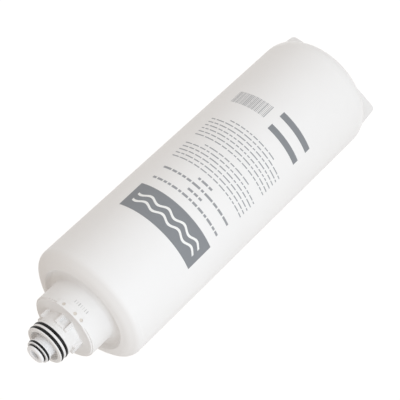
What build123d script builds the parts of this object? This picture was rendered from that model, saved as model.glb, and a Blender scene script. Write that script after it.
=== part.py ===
from build123d import *
import os
from math import radians, tan

# Encapsulated reverse osmosis membrane element.
# Z runs along the cartridge, up towards the neck, and Z = 0 is the rim of the collar.
# The print and the pad on the collar face -Y, and the bar grip runs along X. Lengths are in mm.

# Shell: body, shoulder and collar
body_dia = 96.4
body_draft_deg = 0.3
body_length = 259.5
wall = 3.2
shoulder_round = 5.5
shoulder_rise = 1.6
end_wall = 4.0
collar_dia = 52.0
collar_height = 20.0
collar_root_round = 3.0
rim_width = 1.0
rim_round = 0.4
end_face_rise = 0.9
end_face_round = 0.5
end_face_thickness = 4.0
pocket_dia = 44.0

# Large spigot with two seals
spigot_dia = 28.8
spigot_land_dia = 30.0
spigot_root_round = 0.6
spigot_reach = 19.7
spigot_bore_dia = 23.0
lip_length = 1.0
lip_round = 0.6
land_length = 1.8
rear_land_length = 1.6
large_ring_section = 2.0
large_ring_proud = 0.35
cup_dia = 24.0
cup_depth = 3.5
cup_floor = 4.0

# Feed and concentrate ports in the cup's floor
port_dia = 3.4
port_circle_dia = 20.4
port_count = 4

# Bayonet lugs round the large spigot
lug_count = 4
lug_dia = 34.0
lug_leg_width = 2.2
lug_leg_pitch = 8.6
lug_reach = 8.0
bridge_dia = 31.4
bridge_length = 2.2

# Pad on the collar's rim, with its row of dimples
pad_arc_deg = 57.0
pad_length = 5.0
pad_rise = 0.6
pad_thickness = 2.4
pad_overhang = 1.3
dimple_angles_deg = (18.0, -4.0, -17.0)
dimple_dia = 1.8
dimple_depth = 0.9

# Port insert: small stepped spigot
nose_reach = 9.6
nose_dia = 14.4
nose_length = 1.7
nose_round = 1.2
permeate_bore_dia = 7.2
bore_mouth_chamfer = 0.8
tip_ring_section = 1.0
small_ring_section = 1.5
small_ring_proud = 0.3
step_dia = 17.8
step_land_length = 0.7
step_back_length = 1.0
shank_dia = 16.4
seat_dia = 18.1
insert_shoulder_dia = 21.2
insert_shoulder_length = 2.5
insert_stop_dia = 18.8
insert_tail_length = 22.0
tail_ring_first = 6.0
tail_ring_pitch = 6.0

# Permeate tube and its plug
tube_dia = 20.0
tube_wall = 2.5
tube_top_depth = 2.0
tube_overhang = 2.0
tube_hole_dia = 2.0
tube_hole_count = 12
plug_depth = 10.0
plug_flange_length = 3.0
plug_stem_dia = 10.0
plug_stem_length = 8.0
plug_stem_round = 0.5

# Membrane roll, its wrap, end caps and brine seal
feed_gap = 3.0
wrap_gap = 2.0
wrap_thickness = 0.45
end_cap_length = 9.0
end_cap_rim_width = 6.4
end_cap_hub_width = 3.5
spoke_count = 6
spoke_width = 3.0
brine_groove_length = 5.0
brine_groove_depth = 3.0
brine_cap_play = 1.0
brine_base = 1.4
brine_lip = 0.9

# Grip cap: rounded end and bar grip
cap_depth = 14.0
cap_round = 11.4
cap_wall = 4.0
skirt_length = 8.0
skirt_wall = 3.0
socket_wall = 3.0
grip_height = 23.5
grip_width = 87.0
grip_side_draft_deg = 4.0
grip_crown = 5.0
grip_corner_round = 3.5
grip_tip_thickness = 9.0
grip_root_thickness = 22.0
grip_scoop = 2.6
grip_edge_round = 1.6

# Clearances
seal_gap = 0.02
seal_play = 0.25
slip_gap = 0.05
stem_gap = 0.1
socket_gap = 2.5
root_sink = 0.25

# Heights along the cartridge
shoulder_z = -collar_height
seam_z = shoulder_z - body_length
cap_face_z = seam_z - cap_depth
grip_z = cap_face_z - grip_height
inner_end_z = shoulder_z - end_wall
pocket_z = end_face_rise - end_face_thickness
lip_z = spigot_reach
large_groove_length = large_ring_section + seal_play
front_groove_z = lip_z - lip_length - large_groove_length
rear_groove_z = front_groove_z - land_length - large_groove_length
cup_z = lip_z - cup_depth
cup_under_z = cup_z - cup_floor
nose_z = lip_z + nose_reach
small_groove_length = small_ring_section + seal_play
tip_groove_length = tip_ring_section + seal_play
tip_groove_z = nose_z - nose_length - tip_groove_length
middle_groove_z = tip_groove_z - step_land_length - small_groove_length
insert_shoulder_z = cup_under_z - insert_shoulder_length
tube_top_z = -tube_top_depth
tail_end_z = tube_top_z - insert_tail_length
upper_cap_z = min(inner_end_z, pocket_z) - feed_gap - end_cap_length
tube_end_z = seam_z + skirt_length
lower_cap_z = tube_end_z + tube_overhang
roll_bottom_z = lower_cap_z + end_cap_length
roll_length = upper_cap_z - roll_bottom_z

# Radii shared by pieces that fit each other
end_face_r = collar_dia / 2 - rim_width
large_groove_r = spigot_land_dia / 2 + large_ring_proud - large_ring_section
tip_groove_r = nose_dia / 2 + small_ring_proud - tip_ring_section
middle_groove_r = step_dia / 2 + small_ring_proud - small_ring_section
tube_bore_r = tube_dia / 2 - tube_wall
tail_r = tube_bore_r - slip_gap
tail_groove_r = tube_bore_r - small_ring_section + small_ring_proud
tail_ring_section = tube_bore_r - tail_groove_r - 2 * seal_gap
upper_tail_groove_z = tube_top_z - tail_ring_first - small_groove_length
lower_tail_groove_z = upper_tail_groove_z - tail_ring_pitch
socket_r = plug_stem_dia / 2 + stem_gap


def body_r(z):
    """Outside radius of the drafted body at a height."""
    return body_dia / 2 - (z - seam_z) * tan(radians(body_draft_deg))


def inner_r(z):
    """Inside radius of the drafted body at a height."""
    return body_r(z) - wall


wrap_r = inner_r(inner_end_z) - wrap_gap


def turned(*corners):
    """Revolve a half-section about Z. A corner is (radius, height) or (radius, height, rounding)."""
    section = make_face(Polyline(*[corner[:2] for corner in corners], close=True))
    for radius, height, *rounding in corners:
        if rounding:
            corner = section.vertices().sort_by_distance((radius, height, 0))[0]
            section = fillet(corner, rounding[0])
    return revolve(Plane.XZ * section, Axis.Z)


def ring(groove_r, groove_z, groove_length, section):
    """O-ring seated on a groove floor, midway along the groove."""
    middle = groove_z + groove_length / 2
    return Pos(0, 0, middle) * Torus(groove_r + seal_gap + section / 2, section / 2)


def facing(angle_deg):
    """Turn from the print side, -Y, towards +X."""
    return Rot(0, 0, angle_deg)


def port_cutters():
    """Straight round cutters for the ports, from inside the cup to below the insert's shoulder."""
    depth = cup_z - insert_shoulder_z + 2 * root_sink
    cutter = Cylinder(port_dia / 2, depth, align=(Align.CENTER, Align.CENTER, Align.MIN))
    low = Pos(0, 0, insert_shoulder_z - root_sink)
    return [low * place * cutter for place in PolarLocations(port_circle_dia / 2, port_count)]


def make_lug():
    """One U-shaped bayonet lug on the -Y side: two tall legs joined by a low bridge at the seal end."""
    root = spigot_dia / 2 - root_sink
    foot = end_face_rise - root_sink
    full_height = 2 * spigot_reach
    leg = Rectangle(lug_leg_width, lug_reach - foot, align=(Align.CENTER, Align.MIN))
    half_pitch = lug_leg_pitch / 2
    legs = Sketch() + [Pos(x, foot) * leg for x in (-half_pitch, half_pitch)]
    bridge = Pos(0, lug_reach - bridge_length) * Rectangle(
        lug_leg_pitch + lug_leg_width, bridge_length, align=(Align.CENTER, Align.MIN)
    )
    tall = extrude(Plane.XZ * legs, lug_dia / 2) & Cylinder(lug_dia / 2, full_height)
    low = extrude(Plane.XZ * bridge, bridge_dia / 2) & Cylinder(bridge_dia / 2, full_height)
    return tall + low - Cylinder(root, full_height)


def make_pad():
    """Raised pad along the collar's rim, with a row of round dimples."""
    middle_r = collar_dia / 2 + pad_rise - pad_thickness / 2
    band = Pos(middle_r, pad_overhang - pad_length / 2) * Rectangle(pad_thickness, pad_length)
    band = fillet(band.vertices().group_by(Axis.X)[-1], pad_rise / 2)
    pad = revolve(Plane.XZ * band, Axis.Z, pad_arc_deg)
    return facing(-90 - pad_arc_deg / 2) * pad


def dimple_cutters():
    """Round blind cutters, pointing at the axis, for the pad's dimples."""
    outer = collar_dia / 2 + pad_rise
    height = pad_overhang - pad_length / 2
    drill = Pos(0, -outer, height) * Rot(90, 0, 0) * Cylinder(dimple_dia / 2, 2 * dimple_depth)
    return [facing(angle) * drill for angle in dimple_angles_deg]


def make_shell():
    """Bottle moulding: body, shoulder, collar with its end face, and the large spigot with lugs and ports."""
    collar_r = collar_dia / 2
    spigot_r = spigot_dia / 2
    land_r = spigot_land_dia / 2
    hole_r = seat_dia / 2 + slip_gap
    rear_land_z = rear_groove_z - rear_land_length
    front_groove_top = front_groove_z + large_groove_length
    rear_groove_top = rear_groove_z + large_groove_length
    shell = turned(
        (body_r(seam_z), seam_z),
        (body_r(shoulder_z), shoulder_z, shoulder_round),
        (collar_r, shoulder_z + shoulder_rise, collar_root_round),
        (collar_r, 0, rim_round),
        (end_face_r, 0),
        (end_face_r, end_face_rise, end_face_round),
        (spigot_r, end_face_rise, spigot_root_round),
        (spigot_r, rear_land_z),
        (land_r, rear_land_z),
        (land_r, rear_groove_z),
        (large_groove_r, rear_groove_z),
        (large_groove_r, rear_groove_top),
        (land_r, rear_groove_top),
        (land_r, front_groove_z),
        (large_groove_r, front_groove_z),
        (large_groove_r, front_groove_top),
        (land_r, front_groove_top),
        (land_r, lip_z, lip_round),
        (cup_dia / 2, lip_z, lip_round / 2),
        (cup_dia / 2, cup_z),
        (hole_r, cup_z),
        (hole_r, cup_under_z),
        (spigot_bore_dia / 2, cup_under_z),
        (spigot_bore_dia / 2, pocket_z),
        (pocket_dia / 2, pocket_z),
        (pocket_dia / 2, inner_end_z),
        (inner_r(inner_end_z), inner_end_z, wall),
        (inner_r(seam_z), seam_z),
    )
    lug = make_lug()
    shell += [facing(360 / lug_count * step) * lug for step in range(lug_count)]
    shell += make_pad()
    shell -= dimple_cutters()
    return shell - port_cutters()


def make_port_insert():
    """Small stepped spigot: nose, two seal grooves, shank, fluted shoulder and the tail for the tube."""
    bore_r = permeate_bore_dia / 2
    mouth_r = bore_r + bore_mouth_chamfer
    step_r = step_dia / 2
    seat_r = seat_dia / 2
    middle_groove_top = middle_groove_z + small_groove_length
    tip_groove_top = tip_groove_z + tip_groove_length
    upper_tail_top = upper_tail_groove_z + small_groove_length
    lower_tail_top = lower_tail_groove_z + small_groove_length
    shank_top = middle_groove_z - step_back_length
    insert = turned(
        (bore_r, tail_end_z),
        (tail_r, tail_end_z),
        (tail_r, lower_tail_groove_z),
        (tail_groove_r, lower_tail_groove_z),
        (tail_groove_r, lower_tail_top),
        (tail_r, lower_tail_top),
        (tail_r, upper_tail_groove_z),
        (tail_groove_r, upper_tail_groove_z),
        (tail_groove_r, upper_tail_top),
        (tail_r, upper_tail_top),
        (tail_r, tube_top_z),
        (insert_stop_dia / 2, tube_top_z),
        (insert_stop_dia / 2, insert_shoulder_z),
        (insert_shoulder_dia / 2, insert_shoulder_z),
        (insert_shoulder_dia / 2, cup_under_z),
        (seat_r, cup_under_z),
        (seat_r, cup_z),
        (shank_dia / 2, cup_z),
        (shank_dia / 2, shank_top),
        (step_r, shank_top),
        (step_r, middle_groove_z),
        (middle_groove_r, middle_groove_z),
        (middle_groove_r, middle_groove_top),
        (step_r, middle_groove_top),
        (step_r, tip_groove_z),
        (tip_groove_r, tip_groove_z),
        (tip_groove_r, tip_groove_top),
        (nose_dia / 2, tip_groove_top),
        (nose_dia / 2, nose_z, nose_round),
        (mouth_r, nose_z),
        (bore_r, nose_z - bore_mouth_chamfer),
    )
    return insert - port_cutters()


def make_permeate_tube():
    """Perforated core tube, cross drilled along the roll with each hole turned a quarter from the last."""
    tube = turned(
        (tube_bore_r, tube_end_z),
        (tube_dia / 2, tube_end_z),
        (tube_dia / 2, tube_top_z),
        (tube_bore_r, tube_top_z),
    )
    pitch = roll_length / tube_hole_count
    drill = Rot(90, 0, 0) * Cylinder(tube_hole_dia / 2, 2 * tube_dia)
    for step in range(tube_hole_count):
        height = roll_bottom_z + pitch * (step + 0.5)
        tube -= Pos(0, 0, height) * facing(90 * step) * drill
    return tube


def make_tube_plug():
    """Stopper of the tube's lower end, with the stem that seats in the grip cap."""
    flange_z = tube_end_z - plug_flange_length
    stem_r = plug_stem_dia / 2
    return turned(
        (0, flange_z - plug_stem_length),
        (stem_r, flange_z - plug_stem_length, plug_stem_round),
        (stem_r, flange_z),
        (tube_dia / 2, flange_z),
        (tube_dia / 2, tube_end_z),
        (tail_r, tube_end_z),
        (tail_r, tube_end_z + plug_depth),
        (0, tube_end_z + plug_depth),
    )


def make_membrane_roll():
    """Wound membrane leaves, one solid round the tube."""
    roll_r = wrap_r - wrap_thickness - slip_gap
    core_r = tube_dia / 2 + slip_gap
    top = upper_cap_z
    return turned((core_r, roll_bottom_z), (roll_r, roll_bottom_z), (roll_r, top), (core_r, top))


def make_roll_wrap():
    """Tape sleeve round the roll."""
    inner = wrap_r - wrap_thickness
    top = upper_cap_z
    return turned((inner, roll_bottom_z), (wrap_r, roll_bottom_z), (wrap_r, top), (inner, top))


def spoked(bottom, rim):
    """End cap of the roll: a hub round the tube, radial spokes and a rim."""
    hub_r = tube_dia / 2 + slip_gap
    hub_outer = hub_r + end_cap_hub_width
    top = bottom + end_cap_length
    hub = turned((hub_r, bottom), (hub_outer, bottom), (hub_outer, top), (hub_r, top))
    rim_inner = wrap_r - end_cap_rim_width
    span = rim_inner - hub_outer + 2 * root_sink
    spoke = Pos((rim_inner + hub_outer) / 2, 0, bottom + end_cap_length / 2) * Box(
        span, spoke_width, end_cap_length
    )
    return hub + rim + [Rot(0, 0, 360 / spoke_count * step) * spoke for step in range(spoke_count)]


def make_lower_end_cap():
    """Spoked cap on the grip end of the roll."""
    inner = wrap_r - end_cap_rim_width
    top = lower_cap_z + end_cap_length
    rim = turned((inner, lower_cap_z), (wrap_r, lower_cap_z), (wrap_r, top), (inner, top))
    return spoked(lower_cap_z, rim)


def brine_groove():
    """Floor radius, wall radius and height of the groove for the brine seal."""
    wall_r = inner_r(inner_end_z) - brine_cap_play
    low = upper_cap_z + (end_cap_length - brine_groove_length) / 2
    return wall_r - brine_groove_depth, wall_r, low


def make_upper_end_cap():
    """Spoked cap on the neck end of the roll, with the groove for the brine seal."""
    floor_r, wall_r, low = brine_groove()
    high = low + brine_groove_length
    inner = wrap_r - end_cap_rim_width
    top = upper_cap_z + end_cap_length
    rim = turned(
        (inner, upper_cap_z),
        (wall_r, upper_cap_z),
        (wall_r, low),
        (floor_r, low),
        (floor_r, high),
        (wall_r, high),
        (wall_r, top),
        (inner, top),
    )
    return spoked(upper_cap_z, rim)


def make_brine_seal():
    """U-cup lip seal, open towards the neck, with its outer lip against the shell."""
    floor_r, wall_r, groove_low = brine_groove()
    inner = floor_r + seal_gap
    low = groove_low + seal_gap
    high = groove_low + brine_groove_length - seal_play
    lip_r = inner_r(high) - slip_gap
    return turned(
        (inner, low),
        (wall_r, low),
        (lip_r, high),
        (lip_r - brine_lip, high),
        (wall_r - brine_lip, low + brine_base),
        (inner + brine_base, low + brine_base),
        (inner + brine_base, high),
        (inner, high),
    )


def make_grip():
    """Bar grip: crowned end, rounded corners, drafted ends and scooped flanks."""
    half = grip_width / 2
    corner_z = grip_z + grip_crown
    root_z = cap_face_z + cap_round
    root_half = half + (root_z - corner_z) * tan(radians(grip_side_draft_deg))
    crown = ThreePointArc((-half, corner_z), (0, grip_z), (half, corner_z))
    ends = Polyline((half, corner_z), (root_half, root_z), (-root_half, root_z), (-half, corner_z))
    outline = make_face(crown + ends)
    corners = outline.vertices().filter_by_position(Axis.Y, grip_z, root_z - seal_gap)
    outline = fillet(corners, grip_corner_round)
    slab = extrude(Plane.XZ * outline, grip_root_thickness, both=True)

    tip = grip_tip_thickness / 2
    root = grip_root_thickness / 2
    waist = ((tip + root) / 2 - grip_scoop, (grip_z + root_z) / 2)
    flank = ThreePointArc((tip, grip_z), waist, (root, root_z))
    section = make_face(
        flank
        + Line((root, root_z), (-root, root_z))
        + ThreePointArc((-root, root_z), (-waist[0], waist[1]), (-tip, grip_z))
        + Line((-tip, grip_z), (tip, grip_z))
    )
    grip = slab & extrude(Plane.YZ * section, grip_width, both=True)
    edges = grip.edges().filter_by(lambda edge: edge.bounding_box().max.Z < root_z - seal_gap)
    return fillet(edges, grip_edge_round)


def make_grip_cap():
    """End cap: rounded edge, bar grip, skirt inside the shell and socket for the plug's stem."""
    rim_r = body_r(seam_z)
    skirt_top = seam_z + skirt_length
    skirt_r = inner_r(skirt_top) - slip_gap
    cavity_r = skirt_r - skirt_wall
    inside_z = cap_face_z + cap_wall
    socket_top = tube_end_z - plug_flange_length - socket_gap
    cap = turned(
        (0, cap_face_z),
        (rim_r, cap_face_z, cap_round),
        (rim_r, seam_z),
        (skirt_r, seam_z),
        (skirt_r, skirt_top),
        (0, skirt_top),
    )
    cavity = turned(
        (0, inside_z),
        (cavity_r, inside_z, cap_round - cap_wall),
        (cavity_r, skirt_top),
        (0, skirt_top),
    )
    socket = turned(
        (socket_r, inside_z),
        (socket_r + socket_wall, inside_z),
        (socket_r + socket_wall, socket_top),
        (socket_r, socket_top),
    )
    return cap + make_grip() - cavity + socket


pieces = {
    "shell": make_shell(),
    "grip_cap": make_grip_cap(),
    "port_insert": make_port_insert(),
    "large_o_ring_front": ring(large_groove_r, front_groove_z, large_groove_length, large_ring_section),
    "large_o_ring_rear": ring(large_groove_r, rear_groove_z, large_groove_length, large_ring_section),
    "middle_o_ring": ring(middle_groove_r, middle_groove_z, small_groove_length, small_ring_section),
    "tip_o_ring": ring(tip_groove_r, tip_groove_z, tip_groove_length, tip_ring_section),
    "tube_o_ring_upper": ring(tail_groove_r, upper_tail_groove_z, small_groove_length, tail_ring_section),
    "tube_o_ring_lower": ring(tail_groove_r, lower_tail_groove_z, small_groove_length, tail_ring_section),
    "permeate_tube": make_permeate_tube(),
    "tube_plug": make_tube_plug(),
    "membrane_roll": make_membrane_roll(),
    "roll_wrap": make_roll_wrap(),
    "upper_end_cap": make_upper_end_cap(),
    "lower_end_cap": make_lower_end_cap(),
    "brine_seal": make_brine_seal(),
}

os.makedirs("parts", exist_ok=True)
for name, piece in pieces.items():
    export_step(piece, f"parts/{name}.step")
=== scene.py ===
import math
import random

import bmesh
import bpy
from bpy.props import FloatProperty, FloatVectorProperty, IntProperty, PointerProperty
from bpy.types import Operator, Panel, PropertyGroup
from mathutils import Matrix, Vector


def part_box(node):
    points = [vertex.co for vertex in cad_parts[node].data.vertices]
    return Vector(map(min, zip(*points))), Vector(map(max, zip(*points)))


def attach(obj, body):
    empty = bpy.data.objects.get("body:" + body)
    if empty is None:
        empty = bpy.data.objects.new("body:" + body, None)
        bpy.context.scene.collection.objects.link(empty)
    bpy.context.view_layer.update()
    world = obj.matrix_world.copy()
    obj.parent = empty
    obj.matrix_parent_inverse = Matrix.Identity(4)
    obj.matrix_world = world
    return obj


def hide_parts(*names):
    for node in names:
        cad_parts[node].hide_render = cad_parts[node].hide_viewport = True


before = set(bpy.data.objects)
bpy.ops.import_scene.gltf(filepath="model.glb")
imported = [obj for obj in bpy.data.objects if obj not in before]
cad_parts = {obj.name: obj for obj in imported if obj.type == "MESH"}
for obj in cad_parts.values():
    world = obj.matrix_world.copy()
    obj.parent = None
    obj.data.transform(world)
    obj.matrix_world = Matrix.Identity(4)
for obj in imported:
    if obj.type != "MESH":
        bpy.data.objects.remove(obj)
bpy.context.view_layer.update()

bl_info = {
    "name": "Membrane cartridge looks",
    "version": (1, 0, 0),
    "blender": (4, 5, 0),
    "location": "View3D > Sidebar > Cartridge",
    "description": "Moulded shell, neck, seals, grip and print of a sealed membrane cartridge",
    "category": "Object",
}

# The frame's box, and the places that the pieces take from it. Lengths are in metres.
MM = 0.001
SHELL_LOW, SHELL_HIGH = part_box("shell")
CAP_LOW, CAP_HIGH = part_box("grip_cap")
INSERT_LOW, INSERT_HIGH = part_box("port_insert")
TUBE_LOW, TUBE_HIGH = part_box("permeate_tube")
SEALS = (
    "large_o_ring_front",
    "large_o_ring_rear",
    "middle_o_ring",
    "tip_o_ring",
    "tube_o_ring_upper",
    "tube_o_ring_lower",
)

# Fits between the pieces
SEAL_GAP = 0.02 * MM
SEAL_PLAY = 0.25 * MM
SLIP_GAP = 0.05 * MM
SOCKET_GAP = 2.5 * MM
ROOT_SINK = 0.25 * MM
EDGE_BREAK = 0.12 * MM
CUT_MARGIN = 1.0 * MM

# Steps of the meshes, and what counts as one point and as a sharp edge
CORNER_STEPS = 5
CAP_CORNER_STEPS = 16
HOLE_STEPS = 24
RING_STEPS = 128
SECTION_STEPS = 24
LUG_FACE_STEPS = 6
LUG_EDGE_STEPS = 2
PAD_STEPS = 40
PAD_EDGE_STEPS = 3
GRIP_CORNER_STEPS = 6
GRIP_EDGE_STEPS = 5
FLOOR_STEPS = 8
TINY = 1e-7
DOUBLES = 1e-6
SMOOTH_ANGLE = math.radians(32)

# Moulded plastic: its clouds and dull patches in millimetres, and how far its gloss and relief go
CLOUD = 38
PATCH = 9
GLOSS_SPREAD = 0.05
RELIEF_SHARE = 0.6

# Materials and a node tree that several pieces use
SHELL_PLASTIC = "moulded polypropylene, matte"
SEAL_RUBBER = "EPDM rubber, greased"
WRAP = "print round the axis"

# Camera, and the white behind the part
SENSOR = 36.0
CLIP_START = 10 * MM
WHITE = (1, 1, 1, 1)


# Values given as sRGB hex, as millimetres and as properties


def linear(hex_colour):
    """Linear RGBA of a hex value, by the sRGB curve."""
    channels = [int(hex_colour[at:at + 2], 16) / 255 for at in (1, 3, 5)]
    toned = [c / 12.92 if c <= 0.04045 else ((c + 0.055) / 1.055) ** 2.4 for c in channels]
    return (*toned, 1.0)


def per_metre(millimetres):
    """Texture scale that gives a pattern this size in Object coordinates."""
    return 1 / (millimetres * MM)


def length(name, description, metres):
    """A length property."""
    return FloatProperty(
        name=name, description=description, default=metres, precision=5, unit="LENGTH", subtype="DISTANCE"
    )


def angle(name, description, degrees):
    """An angle property, given in degrees."""
    return FloatProperty(
        name=name, description=description, default=math.radians(degrees), unit="ROTATION", subtype="ANGLE"
    )


def colour(name, description, hex_colour):
    """A colour property, given as sRGB hex."""
    tone = linear(hex_colour)
    return FloatVectorProperty(
        name=name, description=description, default=tone, size=len(tone), min=0, max=1, subtype="COLOR"
    )


def direction(name, description, way):
    """A direction property."""
    return FloatVectorProperty(name=name, description=description, default=way, subtype="DIRECTION")


def power(name, description, watts):
    """A lamp's power property."""
    return FloatProperty(name=name, description=description, default=watts, min=0, unit="POWER")


class ShellSizes(PropertyGroup):
    """Bottle: body, shoulder, collar with its end face, and large spigot."""

    segments: IntProperty(
        name="Segments", description="Steps round the turned pieces", default=192, min=48
    )
    body_radius: length("Body radius", "Outside radius at the seam with the grip cap", SHELL_HIGH.x)
    draft: angle("Draft", "Taper of the body towards the neck", 0.3)
    wall: length("Wall", "Thickness of the body's wall", 3.2 * MM)
    shoulder_drop: length("Shoulder drop", "From the collar's rim to the shoulder's corner", 23.4 * MM)
    shoulder_round: length("Shoulder round", "Rounding of that corner", 6.0 * MM)
    crown_radius: length("Crown radius", "Radius at which the shoulder grows flatter", 40.0 * MM)
    crown_drop: length("Crown drop", "From the collar's rim down to that place", 18.7 * MM)
    crown_round: length("Crown round", "Rounding of the shoulder there", 12.0 * MM)
    ridge_radius: length("Ridge radius", "Radius of the ridge round the sunk ring", 34.5 * MM)
    ridge_drop: length("Ridge drop", "From the collar's rim down to the ridge", 17.5 * MM)
    ridge_round: length("Ridge round", "Rounding of the ridge", 1.0 * MM)
    ring_radius: length("Ring radius", "Outer radius of the sunk ring at the collar's foot", 32.4 * MM)
    ring_round: length("Ring round", "Rounding of the sunk ring's outer edge", 2.0 * MM)
    ring_drop: length("Ring drop", "From the collar's rim down to the sunk ring", 20.9 * MM)
    end_wall: length("End wall", "Thickness of the shoulder, below its level", 4.0 * MM)
    collar_radius: length("Collar radius", "Outside radius of the collar", 26.0 * MM)
    collar_height: length("Collar height", "From the shoulder's level to the collar's rim", 20.0 * MM)
    collar_root_round: length("Collar root", "Hollow rounding at the foot of the collar", 3.0 * MM)
    rim_width: length("Rim width", "Width of the rim round the collar's end face", 1.0 * MM)
    rim_round: length("Rim round", "Rounding of that rim", 0.4 * MM)
    face_rise: length("Face rise", "How far the end face stands past the rim", 0.9 * MM)
    face_round: length("Face round", "Rounding of the end face's edge", 0.5 * MM)
    face_thickness: length("Face thickness", "Thickness of the end face", 4.0 * MM)
    pocket_radius: length("Pocket radius", "Radius of the hollow inside the collar", 22.0 * MM)
    spigot_radius: length("Spigot radius", "Outside radius of the large spigot", 14.4 * MM)
    spigot_root: length("Spigot root", "Hollow rounding at the foot of the large spigot", 0.6 * MM)
    land_radius: length("Land radius", "Outside radius of the lands beside the large seals", 15.0 * MM)
    rear_land: length("Rear land", "Length of the land behind the rear seal", 1.6 * MM)
    lip_round: length("Lip round", "Rounding of the spigot's lip", 0.6 * MM)
    bore_radius: length("Bore radius", "Inside radius of the large spigot", 11.5 * MM)
    cup_radius: length("Cup radius", "Radius of the cup in the large spigot's end", 12.0 * MM)
    cup_depth: length("Cup depth", "Depth of that cup", 3.5 * MM)
    cup_floor: length("Cup floor", "Thickness of the cup's floor", 4.0 * MM)
    port_count: IntProperty(name="Ports", description="Ports in the cup's floor", default=4, min=1)
    port_radius: length("Port radius", "Radius of a port", 1.7 * MM)
    port_circle: length("Port circle", "Radius of the circle of ports", 10.2 * MM)
    port_reach: length("Port reach", "How far a port runs past the cup's floor", 3.0 * MM)


class NeckSizes(PropertyGroup):
    """Bayonet lugs round the large spigot and the pad on the collar."""

    lug_count: IntProperty(name="Lugs", description="Lugs round the large spigot", default=4, min=1)
    lug_radius: length("Lug radius", "Radius of the lugs' outer faces", 17.0 * MM)
    leg_width: length("Leg width", "Width of a lug's leg", 2.2 * MM)
    leg_pitch: length("Leg pitch", "From leg to leg of one lug", 8.6 * MM)
    lug_reach: length("Lug reach", "Height of the legs above the collar's rim", 8.0 * MM)
    bridge_radius: length("Bridge radius", "Radius of the low bridge between two legs", 15.7 * MM)
    bridge_length: length("Bridge length", "Length of that bridge along the axis", 2.2 * MM)
    lug_edge: length("Lug edge", "Rounding of the lugs' edges", 0.25 * MM)
    pad_arc: angle("Pad arc", "Arc of the pad on the collar", 57.0)
    pad_length: length("Pad length", "Length of the pad along the axis", 5.0 * MM)
    pad_rise: length("Pad rise", "How far the pad stands off the collar", 0.6 * MM)
    pad_thickness: length("Pad thickness", "Thickness of the pad", 2.4 * MM)
    pad_overhang: length("Pad overhang", "How far the pad passes the rim", 1.3 * MM)
    dimple_angles: FloatVectorProperty(
        name="Dimples",
        description="Places of the dimples, from the middle of the pad",
        default=[math.radians(degrees) for degrees in (18.0, -4.0, -17.0)],
        unit="ROTATION",
        subtype="EULER",
    )
    dimple_radius: length("Dimple radius", "Radius of a dimple", 1.3 * MM)
    dimple_depth: length("Dimple depth", "Depth of a dimple", 0.9 * MM)
    # The disc that stands on each dimple's floor carries painted shade, a darker warm tone for the hollow.
    shade_disc_rise: length("Shade disc rise", "Height of the disc of painted shade on a dimple's floor", 0.5 * MM)


class InsertSizes(PropertyGroup):
    """Small stepped spigot in the middle of the neck."""

    nose_radius: length("Nose radius", "Radius of the nose", 7.2 * MM)
    nose_round: length("Nose round", "Rounding of the nose", 1.2 * MM)
    bore_radius: length("Bore radius", "Radius of the permeate bore", 3.6 * MM)
    mouth_chamfer: length("Mouth chamfer", "Chamfer at the bore's mouth", 0.8 * MM)
    step_radius: length("Step radius", "Radius of the step between the small seals", 8.9 * MM)
    step_back: length("Step back", "Length of the step behind its seal", 1.0 * MM)
    shank_radius: length("Shank radius", "Radius of the shank", 8.2 * MM)
    seat_radius: length("Seat radius", "Radius of the seat in the cup's floor", 9.05 * MM)
    shoulder_radius: length("Shoulder radius", "Radius of the shoulder under the cup", 10.6 * MM)
    shoulder_length: length("Shoulder length", "Length of that shoulder", 2.5 * MM)
    stop_radius: length("Stop radius", "Radius of the stop above the tube", 9.4 * MM)
    tail_radius: length("Tail radius", "Radius of the tail in the tube", 7.45 * MM)


class GripSizes(PropertyGroup):
    """End cap with the bar grip."""

    cap_depth: length("Cap depth", "From the seam to the cap's face", 13.4 * MM)
    cap_round: length("Cap round", "Rounding of the cap's edge", 11.4 * MM)
    cap_wall: length("Cap wall", "Thickness of the cap", 3.4 * MM)
    skirt_wall: length("Skirt wall", "Thickness of the skirt inside the shell", 3.0 * MM)
    socket_radius: length("Socket radius", "Inside radius of the socket for the plug's stem", 5.1 * MM)
    socket_wall: length("Socket wall", "Thickness of that socket", 3.0 * MM)
    plug_flange: length("Plug flange", "Thickness of the plug's flange over the socket", 3.0 * MM)
    half_width: length("Half width", "Half the grip's width near its tip", 43.5 * MM)
    side_draft: angle("Side draft", "Taper of the grip's ends", 4.0)
    crown: length("Crown", "Rise of the grip's crowned tip", 5.0 * MM)
    corner_round: length("Corner round", "Rounding of the grip's outline", 3.5 * MM)
    tip_thickness: length("Tip thickness", "Thickness at the tip", 9.0 * MM)
    root_thickness: length("Root thickness", "Thickness at the root, inside the cap's wall", 22.0 * MM)
    scoop: length("Scoop", "Hollow of the flanks", 2.6 * MM)
    edge_round: length("Edge round", "Rounding of the grip's edges", 1.6 * MM)
    columns: IntProperty(name="Columns", description="Steps along the grip", default=48, min=8)
    rows: IntProperty(name="Rows", description="Steps from the grip's tip to its root", default=20, min=4)


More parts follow.
